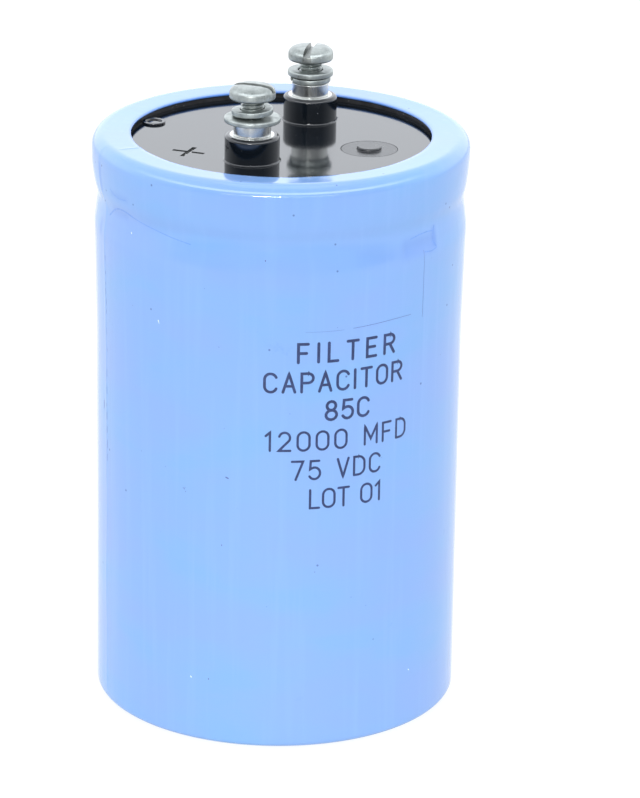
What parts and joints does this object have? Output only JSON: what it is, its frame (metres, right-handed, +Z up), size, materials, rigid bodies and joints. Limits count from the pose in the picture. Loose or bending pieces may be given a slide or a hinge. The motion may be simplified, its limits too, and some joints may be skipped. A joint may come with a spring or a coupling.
{
  "type": "screw-terminal electrolytic capacitor",
  "caption": "Upright cylindrical can capacitor in a light-blue shrink sleeve, closed by a black header with screw terminals and a rubber vent plug.",
  "frame": {"origin": "middle of the base, on the surface that the capacitor stands on", "axes": "+Z up the can's axis towards the terminals; the printed front faces -Y; the line of terminals stands 69 degrees from +X, positive terminal on the -Y side"},
  "size_m": [0.0786, 0.0786, 0.1373],
  "materials": {
    "sleeve_vinyl": "glossy light-blue PVC shrink sleeve",
    "print_ink": "dark navy marking ink, printed on the sleeve",
    "can_aluminium": "drawn aluminium, satin",
    "base_card": "dark pressed insulating card",
    "header_phenolic": "black phenolic moulding, glossy",
    "gasket_rubber": "black rubber, matt",
    "vent_rubber": "dark grey rubber, smooth",
    "terminal_aluminium": "turned aluminium, bright",
    "zinc_steel": "zinc-plated steel, dull grey",
    "anode_foil": "etched and formed foil, matt grey",
    "cathode_foil": "etched foil, light grey",
    "capacitor_paper": "kraft paper soaked in electrolyte",
    "wrap_paper": "kraft wrap",
    "closing_tape": "yellow polyester tape",
    "insulating_card": "pressed insulating card",
    "compound": "black thermoplastic anchoring compound",
    "tab_aluminium": "soft rolled strip"
  },
  "bodies": {
    "capacitor": {"can": "can_aluminium", "sleeve": "sleeve_vinyl", "base_disc": "base_card", "header": "header_phenolic", "gasket_ring": "gasket_rubber", "vent_plug": "vent_rubber", "terminal_insert_positive": "terminal_aluminium", "terminal_insert_negative": "terminal_aluminium", "anode_foil": "anode_foil", "cathode_foil": "cathode_foil", "separator_inner": "capacitor_paper", "separator_outer": "capacitor_paper", "winding_wrap": "wrap_paper", "closing_tape": "closing_tape", "top_insulating_disc": "insulating_card", "bottom_insulating_disc": "insulating_card", "anchoring_compound": "compound", "anode_tab": "tab_aluminium", "cathode_tab": "tab_aluminium", "tab_rivet_positive": "tab_aluminium", "tab_rivet_negative": "tab_aluminium"},
    "lock_washer_positive": {"lock_washer_positive": "zinc_steel"},
    "terminal_screw_positive": {"terminal_screw_positive": "zinc_steel"},
    "flat_washer_positive": {"flat_washer_positive": "zinc_steel"},
    "lock_washer_negative": {"lock_washer_negative": "zinc_steel"},
    "terminal_screw_negative": {"terminal_screw_negative": "zinc_steel"},
    "flat_washer_negative": {"flat_washer_negative": "zinc_steel"}
  },
  "joints": [
    {"name": "positive_screw_turn", "type": "hinge", "parent": "capacitor", "child": "lock_washer_positive", "pos_m": [-0.00597, -0.01556, 0.1296], "axis": [0, 0, 1], "range_deg": [-720, 2160]},
    {"name": "positive_screw_travel", "type": "slide", "parent": "lock_washer_positive", "child": "terminal_screw_positive", "axis": [0, 0, 1], "range_m": [-0.00159, 0.00476]},
    {"name": "positive_flat_washer_spin", "type": "hinge", "parent": "capacitor", "child": "flat_washer_positive", "pos_m": [-0.00597, -0.01556, 0.1296], "axis": [0, 0, 1], "continuous": true},
    {"name": "negative_screw_turn", "type": "hinge", "parent": "capacitor", "child": "lock_washer_negative", "pos_m": [0.00597, 0.01556, 0.1296], "axis": [0, 0, 1], "range_deg": [-720, 2160]},
    {"name": "negative_screw_travel", "type": "slide", "parent": "lock_washer_negative", "child": "terminal_screw_negative", "axis": [0, 0, 1], "range_m": [-0.00159, 0.00476]},
    {"name": "negative_flat_washer_spin", "type": "hinge", "parent": "capacitor", "child": "flat_washer_negative", "pos_m": [0.00597, 0.01556, 0.1296], "axis": [0, 0, 1], "continuous": true}
  ],
  "couplings": [
    {"joint": "positive_screw_turn", "follows": "positive_screw_travel", "rad_per_m": 7915.8},
    {"joint": "negative_screw_turn", "follows": "negative_screw_travel", "rad_per_m": 7915.8}
  ]
}
